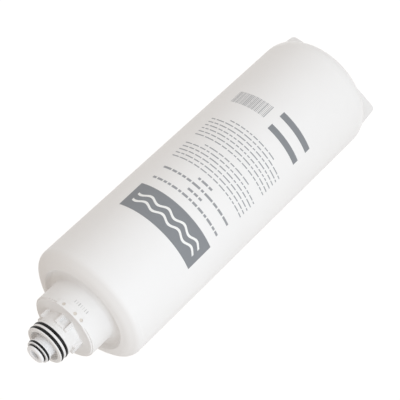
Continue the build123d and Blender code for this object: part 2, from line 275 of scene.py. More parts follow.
class PrintSizes(PropertyGroup):
    """Print on the body, on the side that faces -Y. Heights are from the collar's rim."""

    lift: length("Lift", "How far the ink stands off the body", 0.04 * MM)
    sink: length("Sink", "How far the ink's film reaches into the body", 0.1 * MM)
    step: length("Step", "Longest straight step round the body", 1.2 * MM)
    tilt: angle("Tilt", "Turn of the whole print on the body", -0.8)
    left: angle("Left edge", "Edge of the print towards -X", -44.8)
    right: angle("Right edge", "Edge of the print towards +X", 42.2)
    band_top: length("Band top", "Height of the band's upper edge", -78.7 * MM)
    band_height: length("Band height", "Height of the band", 24.1 * MM)
    wave_count: IntProperty(name="Waves", description="White wave lines in the band", default=2, min=0)
    wave_pitch: length("Wave pitch", "From one wave line to the next", 6.2 * MM)
    wave_length: length("Wave length", "Length of one wave", 15.3 * MM)
    wave_rise: length("Wave rise", "Rise of a wave above its middle", 1.4 * MM)
    wave_width: length("Wave width", "Width of a wave line", 2.0 * MM)
    wave_inset: length("Wave inset", "From the band's ends to the waves", 5.6 * MM)
    bold_count: IntProperty(name="Bold rows", description="Rows of thick dashes", default=4, min=0)
    bold_top: length("Bold top", "Height of the first bold row's middle", -111.8 * MM)
    bold_pitch: length("Bold pitch", "From bold row to bold row", 5.85 * MM)
    bold_height: length("Bold height", "Height of a bold row's dashes", 1.9 * MM)
    bold_wide: length("Wide bold row", "Width of the first and third bold row", 67.0 * MM)
    bold_narrow: length("Narrow bold row", "Width of the second and fourth bold row", 13.0 * MM)
    fine_pitch: length("Fine pitch", "From fine row to fine row", 3.85 * MM)
    fine_height: length("Fine height", "Height of a fine row's dashes", 0.9 * MM)
    upper_block: length("Upper block", "Height of the upper block's first row", -136.6 * MM)
    upper_rows: IntProperty(name="Upper rows", description="Rows in the upper block", default=6, min=1)
    lower_block: length("Lower block", "Height of the lower block's first row", -162.6 * MM)
    lower_rows: IntProperty(name="Lower rows", description="Rows in the lower block", default=7, min=1)
    last_row: length("Last row", "Width of the last row of a block", 44.0 * MM)
    dash_gap: length("Dash gap", "Space between the dashes of a row", 1.2 * MM)
    dash_short: length("Shortest dash", "Shortest dash of a row", 2.0 * MM)
    dash_long: length("Longest dash", "Longest dash of a row", 8.0 * MM)
    seed: IntProperty(name="Seed", description="Seed of the dashes and the stripes", default=7)
    bar_count: IntProperty(name="Bars", description="Short bars under the rows", default=2, min=0)
    bar_top: length("Bar top", "Height of the first bar's upper edge", -199.0 * MM)
    bar_pitch: length("Bar pitch", "From the first bar to the second", 14.7 * MM)
    bar_height: length("Bar height", "Height of a bar", 5.5 * MM)
    bar_right: angle("Bar end", "End of the bars towards +X", -4.0)
    stripes_left: angle("Stripes from", "Edge of the block of stripes towards -X", 5.6)
    stripes_right: angle("Stripes to", "Edge of the block of stripes towards +X", 41.6)
    stripes_top: length("Stripes top", "Height of the stripes' upper ends", -203.8 * MM)
    stripes_height: length("Stripes height", "Length of the stripes", 12.8 * MM)
    stripe_count: IntProperty(name="Stripes", description="Stripes in the block", default=26, min=2)
    stripe_width: length("Stripe width", "Width of the widest stripe", 0.85 * MM)
    stripe_thin: FloatProperty(
        name="Thin stripe", description="Thinnest stripe, as a share of the widest", default=0.3, min=0
    )
    tick_count: IntProperty(name="Ticks", description="Ticks on the collar", default=7, min=2)
    tick_middle: length("Tick middle", "Height of the ticks' middle on the collar", -8.2 * MM)
    tick_height: length("Tick height", "Length of a tick", 2.4 * MM)
    tick_width: length("Tick width", "Width of the widest tick", 0.7 * MM)
    tick_left: angle("Ticks from", "First tick on the collar", -15.0)
    tick_right: angle("Ticks to", "Last tick on the collar", 9.0)


class Finishes(PropertyGroup):
    """Colours of the materials."""

    shell: colour("Shell", "Moulded polypropylene of the bottle", "#EEEDEC")
    cap: colour("Grip cap", "Moulded polypropylene of the cap", "#ECEBEA")
    insert: colour("Port insert", "Acetal of the small spigot", "#F0F0F1")
    rubber: colour("Seals", "EPDM rubber", "#050505")
    # Painted shade: the darker warm tone put on the floors of the pad's dimples.
    dimple_shade: colour("Dimple shade", "Darker warm tone painted as shade on the floors of the pad's dimples", "#E3DCD3")
    band_ink: colour("Band ink", "Slate screen ink", "#7E8185")
    white_ink: colour("White ink", "White screen ink of the waves", "#F0F0EE")
    row_ink: colour("Row ink", "Grey screen ink of the rows", "#95979A")
    stripe_ink: colour("Stripe ink", "Light grey screen ink of the stripes", "#A4A5A7")
    tick_ink: colour("Tick ink", "Faint jetted ink of the ticks on the collar", "#BDBCBB")
    tube: colour("Tube", "Extruded ABS of the tube and its plug", "#DEDDD7")
    leaves: colour("Leaves", "Wound membrane leaves", "#D9D4C6")
    tape: colour("Tape", "Tape round the roll", "#C6D2DA")
    end_cap: colour("End caps", "Grey ABS of the roll's end caps", "#55575A")


class StageSizes(PropertyGroup):
    """Camera, lights and floor."""

    azimuth: angle("Azimuth", "Turn of the view from +Y towards +X", 7.5)
    elevation: angle("Elevation", "How far the camera looks down", 30.18)
    roll: angle("Roll", "Turn of the camera about its own view", -133.31)
    distance: length("Distance", "From the camera to the aim", 0.9487)
    aim: FloatVectorProperty(
        name="Aim",
        description="Point in the middle of the view",
        default=(-0.41 * MM, -0.09 * MM, -144.75 * MM),
        unit="LENGTH",
        subtype="XYZ",
    )
    lens: FloatProperty(
        name="Lens", description="Focal length in millimetres on a 36 mm sensor", default=117.0
    )
    floor_drop: length("Floor drop", "From the grip's end down to the floor", 0.2)
    floor_reach: length("Floor reach", "From the axis to the floor's edges", 6.0)
    floor_colour: colour("Floor", "Pale floor paint", "#F2F2F2")
    floor_glow: FloatProperty(
        name="Floor glow", description="Strength of the white that is seen", default=1.35
    )
    floor_share: FloatProperty(
        name="Floor share",
        description="Share of that white, beside the lit paint",
        default=0.6,
        min=0,
        max=1,
        subtype="FACTOR",
    )
    world_level: FloatProperty(
        name="World level", description="Strength of the light from all round", default=0.65, min=0
    )
    world_tint: colour("World tint", "Slightly warm light from all round", "#FFF6EE")
    lamp_tint: colour("Lamp tint", "Slightly cool light of the lamps", "#E7F4FF")
    lamp_size: length("Lamp size", "Side of each square soft lamp", 0.8)
    lamp_distance: length("Lamp distance", "From the aim to each lamp", 1.1)
    key_way: direction("Key lamp", "Way to the main lamp, on the side of -X", (-1.0, -1.0, 0.5))
    key_power: power("Key power", "Power of the main lamp", 6.3)
    fill_way: direction("Fill lamp", "Way to the weaker lamp on the other side", (1.0, -1.0, 0.0))
    fill_power: power("Fill power", "Power of the weaker lamp", 1.9)


# Shapes


def rounded(corners, steps=CORNER_STEPS):
    """Points of a closed outline. A corner is (radius, height) or (radius, height, rounding)."""
    points = []
    for index, (radius, height, *rounding) in enumerate(corners):
        here = Vector((radius, height))
        size = rounding[0] if rounding else EDGE_BREAK
        if size < TINY or radius < TINY:
            points.append(here)
            continue
        before = (Vector(corners[index - 1][:2]) - here).normalized()
        after = (Vector(corners[(index + 1) % len(corners)][:2]) - here).normalized()
        half = before.angle(after) / 2
        centre = here + (before + after).normalized() * size / math.sin(half)
        start = here + before * size / math.tan(half) - centre
        end = here + after * size / math.tan(half) - centre
        sweep = start.angle(end)
        for step in range(steps + 1):
            share = step / steps
            arm = start * math.sin((1 - share) * sweep) + end * math.sin(share * sweep)
            points.append(centre + arm / math.sin(sweep))
    return points


def lathe(outline, segments, centre=(0, 0)):
    """Closed solid of revolution about Z, or about an axis beside it."""
    shape = bmesh.new()
    turns = [math.tau * step / segments for step in range(segments)]
    loops = []
    for radius, height in outline:
        if radius < TINY:
            loops.append([shape.verts.new((*centre, height))] * segments)
            continue
        loop = []
        for turn in turns:
            x, y = centre[0] + radius * math.cos(turn), centre[1] + radius * math.sin(turn)
            loop.append(shape.verts.new((x, y, height)))
        loops.append(loop)
    for low, high in zip(loops, loops[1:] + loops[:1]):
        for step in range(segments):
            corners = (low[step - 1], low[step], high[step], high[step - 1])
            corners = list(dict.fromkeys(corners))
            if len(corners) > 2:
                shape.faces.new(corners)
    bmesh.ops.recalc_face_normals(shape, faces=shape.faces)
    return shape


def prism(outline, low, high):
    """Closed solid from a flat outline of (x, y) points, between two heights."""
    shape = bmesh.new()
    bottom = [shape.verts.new((x, y, low)) for x, y in outline]
    top = [shape.verts.new((x, y, high)) for x, y in outline]
    shape.faces.new(bottom)
    shape.faces.new(top)
    for index in range(len(outline)):
        shape.faces.new((bottom[index - 1], bottom[index], top[index], top[index - 1]))
    bmesh.ops.recalc_face_normals(shape, faces=shape.faces)
    return shape


def solid(name, shape):
    """Object at the origin from a finished shape."""
    mesh = bpy.data.meshes.new(name)
    shape.to_mesh(mesh)
    shape.free()
    piece = bpy.data.objects.new(name, mesh)
    bpy.context.scene.collection.objects.link(piece)
    return piece


def settle(piece):
    """Turn the piece's modifiers into plain mesh."""
    graph = bpy.context.evaluated_depsgraph_get()
    mesh = bpy.data.meshes.new_from_object(piece.evaluated_get(graph), depsgraph=graph)
    piece.modifiers.clear()
    spent, piece.data = piece.data, mesh
    bpy.data.meshes.remove(spent)
    mesh.name = piece.name


def combine(piece, shape, operation):
    """Cut a shape from the piece, or join it to the piece."""
    tool = solid("tool", shape)
    step = piece.modifiers.new(operation, "BOOLEAN")
    step.operation = operation
    step.solver = "EXACT"
    step.object = tool
    settle(piece)
    spent = tool.data
    bpy.data.objects.remove(tool)
    bpy.data.meshes.remove(spent)


def soften(piece, width, segments):
    """Round the piece's sharp edges."""
    step = piece.modifiers.new("rounded edges", "BEVEL")
    step.width = width
    step.segments = segments
    step.limit_method = "ANGLE"
    step.angle_limit = SMOOTH_ANGLE
    settle(piece)


def dress(piece, material, slot, *nodes):
    """Clean and shade the piece, give it its material and tie it to the frame."""
    shape = bmesh.new()
    shape.from_mesh(piece.data)
    bmesh.ops.remove_doubles(shape, verts=shape.verts, dist=DOUBLES)
    bmesh.ops.recalc_face_normals(shape, faces=shape.faces)
    shape.to_mesh(piece.data)
    shape.free()
    piece.data.shade_smooth()
    piece.data.set_sharp_from_angle(angle=SMOOTH_ANGLE)
    flat_faces = piece.modifiers.new("true to large faces", "WEIGHTED_NORMAL")
    flat_faces.keep_sharp = True
    piece.data.materials.clear()
    piece.data.materials.append(material)
    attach(piece, "root")
    if nodes:
        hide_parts(*nodes)


# Sizes shared by pieces that fit each other


def seal(node):
    """Radius of an O-ring's middle line, its section and its height, from the frame."""
    low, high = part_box(node)
    section = high.z - low.z
    return high.x - section / 2, section, (low.z + high.z) / 2


def groove(node, wall_below, wall_above):
    """Corners of the groove that an O-ring sits in, from its lower wall to its upper one."""
    radius, section, height = seal(node)
    floor = radius - section / 2 - SEAL_GAP
    half = (section + SEAL_PLAY) / 2
    low, high = height - half, height + half
    return [(wall_below, low), (floor, low), (floor, high), (wall_above, high)]


def body_radius(sizes, height):
    """Outside radius of the drafted body at a height."""
    return sizes.body_radius - (height - SHELL_LOW.z) * math.tan(sizes.draft)


def cup_heights(sizes):
    """Upper and lower face of the cup's floor."""
    top = SHELL_HIGH.z - sizes.cup_depth
    return top, top - sizes.cup_floor


def port_cutters(sizes):
    """Straight round cutters for the ports, through the cup's floor and past the insert's shoulder."""
    top, under = cup_heights(sizes)
    low, high = under - sizes.port_reach, top + CUT_MARGIN
    outline = [(0, low), (sizes.port_radius, low), (sizes.port_radius, high), (0, high)]
    shape = bmesh.new()
    for step in range(sizes.port_count):
        turn = math.tau * step / sizes.port_count
        centre = Vector((math.cos(turn), math.sin(turn))) * sizes.port_circle
        cutter = lathe(outline, HOLE_STEPS, centre)
        mesh = bpy.data.meshes.new("cutter")
        cutter.to_mesh(mesh)
        cutter.free()
        shape.from_mesh(mesh)
        bpy.data.meshes.remove(mesh)
    return shape


# Nodes


def add(tree, kind, inputs=None, **settings):
    """Add a node with its settings, and fill its inputs with values or links."""
    node = tree.nodes.new(kind)
    for name, value in settings.items():
        setattr(node, name, value)
    for name, value in (inputs or {}).items():
        if isinstance(value, bpy.types.NodeSocket):
            tree.links.new(value, node.inputs[name])
        else:
            node.inputs[name].default_value = value
    return node


def new_material(name):
    """A node material, with its tree, its shader and the piece's own coordinates."""
    made = bpy.data.materials.new(name)
    made.use_nodes = True
    tree = made.node_tree
    place = add(tree, "ShaderNodeTexCoord").outputs["Object"]
    return made, tree, tree.nodes["Principled BSDF"], place


def toned(base, share):
    """A colour made darker or lighter by a share."""
    return [min(1.0, channel * share) for channel in base[:3]] + [1.0]


def coat(tree, shader, pattern, base, other, height, depth, share=1.0):
    """Lead the colour from tone to tone by a pattern, and raise a relief, its depth in millimetres."""
    tone = add(tree, "ShaderNodeMix", {0: pattern, 6: base, 7: other}, data_type="RGBA")
    relief = add(tree, "ShaderNodeBump", {"Height": height, "Distance": depth * MM, "Strength": share})
    tree.links.new(tone.outputs[2], shader.inputs["Base Color"])
    tree.links.new(relief.outputs["Normal"], shader.inputs["Normal"])


def moulded(name, base, shade, gloss, grain, depth):
    """Injection moulded plastic: faint cloudy colour, uneven gloss and a fine spark-eroded grain."""
    made, tree, shader, place = new_material(name)
    cloud = add(tree, "ShaderNodeTexNoise", {"Vector": place, "Scale": per_metre(CLOUD), "Detail": 3.0})
    patch = add(tree, "ShaderNodeTexNoise", {"Vector": place, "Scale": per_metre(PATCH), "Detail": 2.0})
    sheen = add(
        tree,
        "ShaderNodeMapRange",
        {"Value": patch.outputs["Fac"], "To Min": gloss - GLOSS_SPREAD, "To Max": gloss + GLOSS_SPREAD},
    )
    pits = add(tree, "ShaderNodeTexNoise", {"Vector": place, "Scale": per_metre(grain), "Detail": 4.0})
    clouded = cloud.outputs["Fac"]
    coat(tree, shader, clouded, base, toned(base, shade), pits.outputs["Fac"], depth, RELIEF_SHARE)
    tree.links.new(sheen.outputs["Result"], shader.inputs["Roughness"])
    return made, shader


def moulded_polypropylene(finishes):
    """Bottle: natural white polypropylene off a fine textured tool, matte and a little warm."""
    # The tool's grain is near 0.3 mm and too fine for the picture, so it is drawn at 1 mm.
    made, shader = moulded(SHELL_PLASTIC, finishes.shell, shade=0.975, gloss=0.55, grain=1.0, depth=0.02)
    shader.inputs["IOR"].default_value = 1.49
    shader.inputs["Specular IOR Level"].default_value = 0.3
    return made


def painted_dimple_shade(finishes):
    """Painted shade for the dimples' floors: the bottle's plastic, darker, warmer and duller."""
    made, shader = moulded(
        "moulded polypropylene, scorched", finishes.dimple_shade, shade=0.85, gloss=0.6, grain=0.6, depth=0.03
    )
    shader.inputs["Specular IOR Level"].default_value = 0.3
    return made


def polished_polypropylene(finishes):
    """Grip cap: the same plastic off a smoother tool, cooler and with soft highlights."""
    made, shader = moulded(
        "moulded polypropylene, satin", finishes.cap, shade=0.98, gloss=0.3, grain=1.4, depth=0.012
    )
    shader.inputs["IOR"].default_value = 1.49
    return made


def glossy_acetal(finishes):
    """Port insert: acetal, bluish white and glossier than the bottle."""
    made, shader = moulded(
        "moulded acetal, gloss", finishes.insert, shade=0.98, gloss=0.24, grain=0.8, depth=0.008
    )
    shader.inputs["IOR"].default_value = 1.48
    return made


def moulded_abs(finishes):
    """Roll's end caps: grey ABS off a plain tool, even and half matte."""
    return moulded(
        "moulded ABS, grey", finishes.end_cap, shade=0.93, gloss=0.42, grain=0.8, depth=0.02
    )[0]


def greased_rubber(finishes):
    """Seals: moulded EPDM, near black, with the uneven shine of a wipe of silicone grease."""
    made, tree, shader, place = new_material(SEAL_RUBBER)
    smear = add(tree, "ShaderNodeTexNoise", {"Vector": place, "Scale": per_metre(5), "Detail": 3.0})
    wet = add(
        tree,
        "ShaderNodeMapRange",
        {"Value": smear.outputs["Fac"], "From Min": 0.3, "From Max": 0.7, "To Min": 0.14, "To Max": 0.34},
    )
    skin = add(tree, "ShaderNodeTexNoise", {"Vector": place, "Scale": per_metre(0.35), "Detail": 2.0})
    smeared, dry = smear.outputs["Fac"], linear("#0C0B0B")
    coat(tree, shader, smeared, finishes.rubber, dry, skin.outputs["Fac"], depth=0.006, share=0.5)
    tree.links.new(wet.outputs["Result"], shader.inputs["Roughness"])
    shader.inputs["IOR"].default_value = 1.5
    shader.inputs["Specular IOR Level"].default_value = 0.2
    return made


def screen_ink(name, base, thin):
    """Screen printed ink: satin, with a faint mesh mark and slightly uneven cover."""
    made, tree, shader, place = new_material(name)
    cover = add(tree, "ShaderNodeTexNoise", {"Vector": place, "Scale": per_metre(6), "Detail": 5.0})
    # The screen's mesh is near 0.1 mm and too fine for the picture, so it is drawn at 0.5 mm.
    mesh_mark = add(tree, "ShaderNodeTexVoronoi", {"Vector": place, "Scale": per_metre(0.5)})
    covered, spots = cover.outputs["Fac"], mesh_mark.outputs["Distance"]
    coat(tree, shader, covered, base, toned(base, thin), spots, depth=0.008, share=0.4)
    shader.inputs["Roughness"].default_value = 0.38
    return made


def extruded_abs(finishes):
    """Tube and plug: extruded ABS, natural white, with fine die lines along the axis."""
    made, tree, shader, place = new_material("extruded ABS, natural")
    # The lines are drawn 50 times as long as they are wide.
    stretched = add(tree, "ShaderNodeMapping", {"Vector": place, "Scale": (1.0, 1.0, 1 / 50)})
    lines = add(
        tree, "ShaderNodeTexNoise", {"Vector": stretched.outputs["Vector"], "Scale": per_metre(0.8)}
    ).outputs["Fac"]
    coat(tree, shader, lines, finishes.tube, linear("#D2D0C8"), lines, depth=0.02)
    shader.inputs["Roughness"].default_value = 0.4
    return made


def wound_leaves(finishes):
    """Roll: film and mesh leaves wound on the tube, seen as fine rings on its ends."""
    made, tree, shader, place = new_material("wound membrane leaves")
    turns = add(
        tree,
        "ShaderNodeTexWave",
        {"Vector": place, "Scale": per_metre(1.2) / math.tau, "Distortion": 0.6, "Detail": 2.0},
        wave_type="RINGS",
        rings_direction="Z",
    ).outputs["Fac"]
    coat(tree, shader, turns, finishes.leaves, linear("#8E8A7C"), turns, depth=0.2)
    shader.inputs["Roughness"].default_value = 0.6
    return made


def wrap_tape(finishes):
    """Wrap: glossy polyester tape, wound in overlapping turns along the roll."""
    made, tree, shader, place = new_material("polyester tape")
    laps = add(
        tree,
        "ShaderNodeTexWave",
        {"Vector": place, "Scale": per_metre(25) / math.tau, "Distortion": 0.3},
        wave_type="BANDS",
        bands_direction="Z",
        wave_profile="SAW",
    ).outputs["Fac"]
    coat(tree, shader, laps, finishes.tape, linear("#B2C0CA"), laps, depth=0.05)
    shader.inputs["Roughness"].default_value = 0.18
    return made


# Geometry node trees


def new_tree(name, *sizes):
    """Geometry node tree with a geometry input, named sizes and a material."""
    tree = bpy.data.node_groups.new(name, "GeometryNodeTree")
    tree.interface.new_socket("Geometry", in_out="INPUT", socket_type="NodeSocketGeometry")
    for size in sizes:
        kind = "NodeSocketInt" if size in ("Count", "Seed") else "NodeSocketFloat"
        tree.interface.new_socket(size, in_out="INPUT", socket_type=kind)
    tree.interface.new_socket("Material", in_out="INPUT", socket_type="NodeSocketMaterial")
    tree.interface.new_socket("Geometry", in_out="OUTPUT", socket_type="NodeSocketGeometry")
    return tree, add(tree, "NodeGroupInput").outputs


def end_tree(tree, geometry, material):
    """Realize the instances, set the material and put the result out."""
    whole = add(tree, "GeometryNodeRealizeInstances", {"Geometry": geometry})
    painted = add(
        tree, "GeometryNodeSetMaterial", {"Geometry": whole.outputs["Geometry"], "Material": material}
    )
    add(tree, "NodeGroupOutput", {"Geometry": painted.outputs["Geometry"]})


def grow(piece, tree, values):
    """Run a tree on the piece with its inputs set, and keep the result as plain mesh."""
    step = piece.modifiers.new(tree.name, "NODES")
    step.node_group = tree
    for item in tree.interface.items_tree:
        if item.in_out == "INPUT" and item.name in values:
            step[item.identifier] = values[item.name]
    settle(piece)


def ring_tree():
    """An O-ring: a section swept round the axis, squeezed to an oval along it."""
    tree, given = new_tree("o-ring", "Radius", "Section", "Squeeze", "Height")
    path = add(
        tree,
        "GeometryNodeCurvePrimitiveCircle",
        {"Resolution": RING_STEPS, "Radius": given["Radius"]},
        mode="RADIUS",
    )
    half = add(tree, "ShaderNodeMath", {0: given["Section"], 1: 2.0}, operation="DIVIDE")
    section = add(
        tree,
        "GeometryNodeCurvePrimitiveCircle",
        {"Resolution": SECTION_STEPS, "Radius": half.outputs[0]},
        mode="RADIUS",
    )
    swept = add(
        tree,
        "GeometryNodeCurveToMesh",
        {"Curve": path.outputs["Curve"], "Profile Curve": section.outputs["Curve"]},
    )
    lift = add(tree, "ShaderNodeCombineXYZ", {"Z": given["Height"]})
    oval = add(tree, "ShaderNodeCombineXYZ", {"X": 1.0, "Y": 1.0, "Z": given["Squeeze"]})
    seated = add(
        tree,
        "GeometryNodeTransform",
        {
            "Geometry": swept.outputs["Mesh"],
            "Translation": lift.outputs["Vector"],
            "Scale": oval.outputs["Vector"],
        },
    )
    end_tree(tree, seated.outputs["Geometry"], given["Material"])
    return tree


def round_tree():
    """Copies of a shape, evenly spaced round the axis."""
    tree, given = new_tree("copies round the axis", "Count")
    places = add(tree, "GeometryNodePoints", {"Count": given["Count"]})
    index = add(tree, "GeometryNodeInputIndex").outputs["Index"]
    share = add(tree, "ShaderNodeMath", {0: index, 1: given["Count"]}, operation="DIVIDE")
    turn = add(tree, "ShaderNodeMath", {0: share.outputs[0], 1: math.tau}, operation="MULTIPLY")
    spin = add(tree, "ShaderNodeCombineXYZ", {"Z": turn.outputs[0]})
    copies = add(
        tree,
        "GeometryNodeInstanceOnPoints",
        {
            "Points": places.outputs["Points"],
            "Instance": given["Geometry"],
            "Rotation": spin.outputs["Vector"],
        },
    )
    end_tree(tree, copies.outputs["Instances"], given["Material"])
    return tree


def wrap_tree():
    """Flat print wrapped on a drafted wall: x runs round it, y stands off it and z runs along it."""
    tree, given = new_tree(WRAP, "Radius", "Foot", "Taper", "Tilt")
    place = add(tree, "GeometryNodeInputPosition").outputs["Position"]
    tilted = add(
        tree,
        "ShaderNodeVectorRotate",
        {"Vector": place, "Angle": given["Tilt"], "Center": (0, 0, (SHELL_LOW.z + SHELL_HIGH.z) / 2)},
        rotation_type="Y_AXIS",
    )
    flat = add(tree, "ShaderNodeSeparateXYZ", {0: tilted.outputs["Vector"]}).outputs
    above = add(tree, "ShaderNodeMath", {0: flat["Z"], 1: given["Foot"]}, operation="SUBTRACT")
    drop = add(tree, "ShaderNodeMath", {0: above.outputs[0], 1: given["Taper"]}, operation="MULTIPLY")
    wall = add(tree, "ShaderNodeMath", {0: given["Radius"], 1: drop.outputs[0]}, operation="SUBTRACT")
    radius = add(tree, "ShaderNodeMath", {0: wall.outputs[0], 1: flat["Y"]}, operation="ADD").outputs[0]
    turn = add(tree, "ShaderNodeMath", {0: flat["X"], 1: given["Radius"]}, operation="DIVIDE").outputs[0]
    across = add(tree, "ShaderNodeMath", {0: turn}, operation="SINE").outputs[0]
    along = add(tree, "ShaderNodeMath", {0: turn}, operation="COSINE").outputs[0]
    x = add(tree, "ShaderNodeMath", {0: radius, 1: across}, operation="MULTIPLY").outputs[0]
    y = add(tree, "ShaderNodeMath", {0: radius, 1: along}, operation="MULTIPLY").outputs[0]
    front = add(tree, "ShaderNodeMath", {0: y, 1: -1.0}, operation="MULTIPLY").outputs[0]
    there = add(tree, "ShaderNodeCombineXYZ", {"X": x, "Y": front, "Z": flat["Z"]})
    wrapped = add(
        tree,
        "GeometryNodeSetPosition",
        {"Geometry": given["Geometry"], "Position": there.outputs["Vector"]},
    )
    end_tree(tree, wrapped.outputs["Geometry"], given["Material"])
    return tree


def stripe_tree():
    """A row of upright stripes of uneven width, as copies of one thin strip."""
    tree, given = new_tree("row of stripes", "Count", "Start", "Pitch", "Thinnest", "Widest", "Seed")
    reach = add(tree, "ShaderNodeCombineXYZ", {"X": given["Start"]})
    pitch = add(tree, "ShaderNodeCombineXYZ", {"X": given["Pitch"]})
    places = add(
        tree,
        "GeometryNodeMeshLine",
        {
            "Count": given["Count"],
            "Start Location": reach.outputs["Vector"],
            "Offset": pitch.outputs["Vector"],
        },
        mode="OFFSET",
    )
    width = add(
        tree,
        "FunctionNodeRandomValue",
        {2: given["Thinnest"], 3: given["Widest"], "Seed": given["Seed"]},
        data_type="FLOAT",
    )
    size = add(tree, "ShaderNodeCombineXYZ", {"X": width.outputs[1], "Y": 1.0, "Z": 1.0})
    copies = add(
        tree,
        "GeometryNodeInstanceOnPoints",
        {"Points": places.outputs["Mesh"], "Instance": given["Geometry"], "Scale": size.outputs["Vector"]},
    )
    end_tree(tree, copies.outputs["Instances"], given["Material"])
    return tree


# Pieces


def shell_outline(sizes, insert):
    """Half-section of the bottle: up the outside from the seam, over the neck and down the inside."""
    seam, lip = SHELL_LOW.z, SHELL_HIGH.z
    shoulder = -sizes.collar_height
    inner_end = shoulder - sizes.end_wall
    pocket = sizes.face_rise - sizes.face_thickness
    face = sizes.collar_radius - sizes.rim_width
    land = sizes.land_radius
    rear = groove("large_o_ring_rear", land, land)
    cup, under = cup_heights(sizes)
    hole = insert.seat_radius + SLIP_GAP
    rear_land = rear[0][1] - sizes.rear_land
    return [
        (body_radius(sizes, seam), seam, 0),
        (body_radius(sizes, shoulder), -sizes.shoulder_drop, sizes.shoulder_round),
        (sizes.crown_radius, -sizes.crown_drop, sizes.crown_round),
        (sizes.ridge_radius, -sizes.ridge_drop, sizes.ridge_round),
        (sizes.ring_radius, -sizes.ring_drop, sizes.ring_round),
        (sizes.collar_radius, -sizes.ring_drop, sizes.collar_root_round),
        (sizes.collar_radius, 0, sizes.rim_round),
        (face, 0),
        (face, sizes.face_rise, sizes.face_round),
        (sizes.spigot_radius, sizes.face_rise, sizes.spigot_root),
        (sizes.spigot_radius, rear_land),
        (land, rear_land),
        *rear,
        *groove("large_o_ring_front", land, land),
        (land, lip, sizes.lip_round),
        (sizes.cup_radius, lip, sizes.lip_round / 2),
        (sizes.cup_radius, cup),
        (hole, cup),
        (hole, under),
        (sizes.bore_radius, under),
        (sizes.bore_radius, pocket),
        (sizes.pocket_radius, pocket),
        (sizes.pocket_radius, inner_end),
        (body_radius(sizes, inner_end) - sizes.wall, inner_end, sizes.wall),
        (body_radius(sizes, seam) - sizes.wall, seam, 0),
    ]


class CARTRIDGE_OT_shell(Operator):
    """Turn the bottle from its half-section and open the ports in the cup"""

    bl_idname = "cartridge.shell"
    bl_label = "Shell"

    def execute(self, context):
        sizes = context.scene.cartridge_shell
        outline = shell_outline(sizes, context.scene.cartridge_insert)
        piece = solid("shell_moulding", lathe(rounded(outline), sizes.segments))
        combine(piece, port_cutters(sizes), "DIFFERENCE")
        dress(piece, moulded_polypropylene(context.scene.cartridge_finishes), "shell_white", "shell")
        return {"FINISHED"}


def arc_outline(left, right, inner, outer):
    """Block on the -Y side between two x places, with a round root and a round outer face."""
    shares = [step / LUG_FACE_STEPS for step in range(LUG_FACE_STEPS + 1)]
    places = [left + (right - left) * share for share in shares]
    root = [(x, -math.sqrt(inner * inner - x * x)) for x in reversed(places)]
    face = [(x, -math.sqrt(outer * outer - x * x)) for x in places]
    return root + face


class CARTRIDGE_OT_lugs(Operator):
    """Make one U-shaped bayonet lug and set copies of it round the large spigot"""

    bl_idname = "cartridge.lugs"
    bl_label = "Bayonet lugs"

    def execute(self, context):
        sizes = context.scene.cartridge_neck
        shell = context.scene.cartridge_shell
        root = shell.spigot_radius - ROOT_SINK
        half_leg = sizes.leg_width / 2
        half_pitch = sizes.leg_pitch / 2
        reach = half_pitch + half_leg
        top, foot = sizes.lug_reach, shell.face_rise - ROOT_SINK
        bridge = arc_outline(-reach, reach, root, sizes.bridge_radius)
        lug = solid("bayonet_lugs", prism(bridge, top - sizes.bridge_length, top))
        for middle in (-half_pitch, half_pitch):
            leg = arc_outline(middle - half_leg, middle + half_leg, root - ROOT_SINK, sizes.lug_radius)
            combine(lug, prism(leg, foot, top), "UNION")
        soften(lug, sizes.lug_edge, LUG_EDGE_STEPS)
        plastic = bpy.data.materials[SHELL_PLASTIC]
        grow(lug, round_tree(), {"Count": sizes.lug_count, "Material": plastic})
        dress(lug, plastic, "shell_white", "shell")
        return {"FINISHED"}


class CARTRIDGE_OT_pad(Operator):
    """Sweep the pad along the collar's rim, sink its dimples and set a disc of painted shade on each
    dimple's floor
    """

    bl_idname = "cartridge.pad"
    bl_label = "Key pad"

    def execute(self, context):
        sizes = context.scene.cartridge_neck
        outer = context.scene.cartridge_shell.collar_radius + sizes.pad_rise
        inner = outer - sizes.pad_thickness
        low, high = sizes.pad_overhang - sizes.pad_length, sizes.pad_overhang
        turns = [sizes.pad_arc * (step / PAD_STEPS - 0.5) for step in range(PAD_STEPS + 1)]
        outline = [(outer * math.sin(turn), -outer * math.cos(turn)) for turn in turns]
        outline += [(inner * math.sin(turn), -inner * math.cos(turn)) for turn in reversed(turns)]
        piece = solid("key_pad", prism(outline, low, high))
        soften(piece, sizes.pad_rise / 2, PAD_EDGE_STEPS)
        radius, depth = sizes.dimple_radius, sizes.dimple_depth
        bowl = rounded([(0, 0), (radius, 0), (radius, 2 * depth), (0, 2 * depth)])
        # Each dimple gets a disc over its floor, coloured darker and warmer as painted shade in the
        # hollow.
        rise = sizes.shade_disc_rise
        shade_disc = rounded([(0, -ROOT_SINK), (radius, -ROOT_SINK), (radius, rise), (0, rise)])
        shade_discs = solid("pad_gate_marks", bmesh.new())
        place = Matrix.Translation((0, depth - outer, (low + high) / 2))
        lean = Matrix.Rotation(math.pi / 2, 4, "X")
        for turn in sizes.dimple_angles:
            stand = Matrix.Rotation(turn, 4, "Z") @ place @ lean
            combine(piece, self.stood(bowl, stand), "DIFFERENCE")
            combine(shade_discs, self.stood(shade_disc, stand), "UNION")
        dress(piece, bpy.data.materials[SHELL_PLASTIC], "shell_white", "shell")
        # The discs take the material of painted shade for the dimples.
        dress(shade_discs, painted_dimple_shade(context.scene.cartridge_finishes), "shell_white", "shell")
        return {"FINISHED"}

    def stood(self, outline, stand):
        """A small turned shape, stood on the pad."""
        shape = lathe(outline, HOLE_STEPS)
        bmesh.ops.transform(shape, matrix=stand, verts=shape.verts)
        return shape


